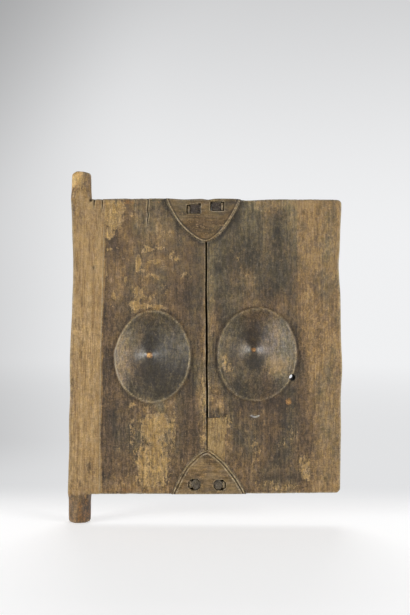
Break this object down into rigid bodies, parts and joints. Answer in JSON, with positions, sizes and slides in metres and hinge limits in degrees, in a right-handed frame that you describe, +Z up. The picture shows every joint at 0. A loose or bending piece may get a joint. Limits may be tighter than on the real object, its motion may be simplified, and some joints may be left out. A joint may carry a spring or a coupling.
{
  "type": "granary door leaf",
  "caption": "Carved plank door leaf with two round pintles, paired oval breasts in relief, pegged cleats over the seam and a cord hole.",
  "frame": {"origin": "centre of the lower pintle's foot, on the pivot axis", "axes": "+Z up along the pivot axis, +X from the pivot towards the free edge, +Y towards the back; the carved front faces -Y"},
  "size_m": [0.4436, 0.0702, 0.5697],
  "materials": {
    "weathered_plank": "old hardwood, dark worn patina over tan wood, matt",
    "cleat_wood": "old hardwood with the grain across, rubbed, matt",
    "dark_peg": "dark end grain, matt",
    "pale_wedge": "pale split wood, matt",
    "patch_wood": "paler let-in wood, matt"
  },
  "bodies": {
    "root": {"left_plank": "weathered_plank", "right_plank": "weathered_plank", "top_cleat": "cleat_wood", "bottom_cleat": "cleat_wood", "top_left_peg": "dark_peg", "top_right_peg": "dark_peg", "bottom_left_peg": "dark_peg", "bottom_right_peg": "dark_peg", "top_left_wedge": "pale_wedge", "top_right_wedge": "pale_wedge", "bottom_left_wedge": "pale_wedge", "bottom_right_wedge": "pale_wedge", "edge_patch": "patch_wood", "patch_pin": "dark_peg"}
  },
  "joints": []
}
